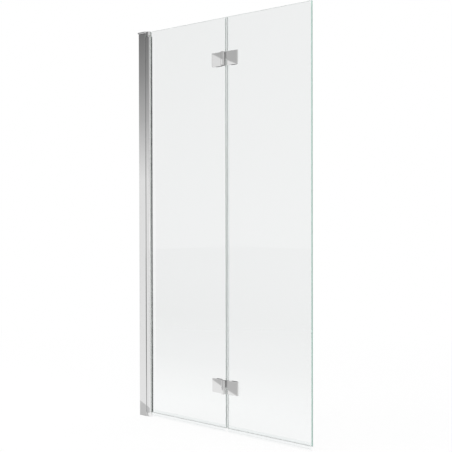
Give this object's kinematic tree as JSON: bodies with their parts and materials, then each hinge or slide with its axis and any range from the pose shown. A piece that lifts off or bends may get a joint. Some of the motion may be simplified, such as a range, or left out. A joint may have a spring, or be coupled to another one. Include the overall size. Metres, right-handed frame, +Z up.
{
  "type": "folding bath screen",
  "caption": "Frameless glass bath screen: a chrome wall post carries a swinging inner pane, and glass-to-glass hinges carry an outer pane that folds flat against it.",
  "frame": {"origin": "on the wall plane, level with the bath rim, in the middle plane of the glass", "axes": "+Z up, +X from the wall along the glass, -Y to the front, where the hinge barrels stand"},
  "size_m": [0.9, 0.0372, 1.5033],
  "materials": {
    "chromed_aluminium": "bright chrome-plated extrusion",
    "chromed_zinc": "bright chrome-plated casting",
    "satin_aluminium": "satin mill extrusion",
    "stainless_steel": "plain stainless steel",
    "natural_nylon": "natural white nylon",
    "clear_pvc": "clear soft PVC",
    "grey_gasket": "translucent grey elastomer",
    "clear_glass": "8 mm clear toughened glass, green at the edges"
  },
  "bodies": {
    "wall_post": {"wall_channel": "chromed_aluminium", "expander_profile": "satin_aluminium", "top_bracket": "chromed_zinc", "bottom_bracket": "chromed_zinc", "top_cap": "chromed_zinc", "upper_pivot_bush": "natural_nylon", "lower_pivot_bush": "natural_nylon", "adjusting_screws": "stainless_steel", "screw_caps": "chromed_zinc", "bracket_screws": "stainless_steel"},
    "inner_panel": {"pivot_profile": "chromed_aluminium", "upper_hinge_inner_leaf": "chromed_zinc", "upper_hinge_inner_back_plate": "chromed_zinc", "lower_hinge_inner_leaf": "chromed_zinc", "lower_hinge_inner_back_plate": "chromed_zinc", "inner_sleeves": "natural_nylon", "upper_hinge_washer": "natural_nylon", "lower_hinge_washer": "natural_nylon", "upper_pivot_pin": "stainless_steel", "lower_pivot_pin": "stainless_steel", "inner_clamp_screws": "stainless_steel", "upper_hinge_pin": "stainless_steel", "lower_hinge_pin": "stainless_steel", "inner_bottom_seal": "clear_pvc", "upper_hinge_inner_pads": "clear_pvc", "lower_hinge_inner_pads": "clear_pvc", "front_gasket": "grey_gasket", "rear_gasket": "grey_gasket", "inner_glass": "clear_glass"},
    "outer_panel": {"outer_glass": "clear_glass", "outer_bottom_seal": "clear_pvc", "joint_seal": "clear_pvc", "outer_sleeves": "natural_nylon", "outer_clamp_screws": "stainless_steel", "upper_hinge_outer_leaf": "chromed_zinc", "upper_hinge_outer_back_plate": "chromed_zinc", "upper_hinge_outer_pads": "clear_pvc", "upper_hinge_bush": "natural_nylon", "lower_hinge_outer_leaf": "chromed_zinc", "lower_hinge_outer_back_plate": "chromed_zinc", "lower_hinge_outer_pads": "clear_pvc", "lower_hinge_bush": "natural_nylon"}
  },
  "joints": [
    {"name": "wall_pivot", "type": "hinge", "parent": "wall_post", "child": "inner_panel", "pos_m": [0.0515, 0, 0.75], "axis": [0, 0, 1], "range_deg": [-90, 90]},
    {"name": "panel_fold", "type": "hinge", "parent": "inner_panel", "child": "outer_panel", "pos_m": [0.48525, -0.01525, 0.759], "axis": [0, 0, -1], "range_deg": [0, 180]}
  ]
}
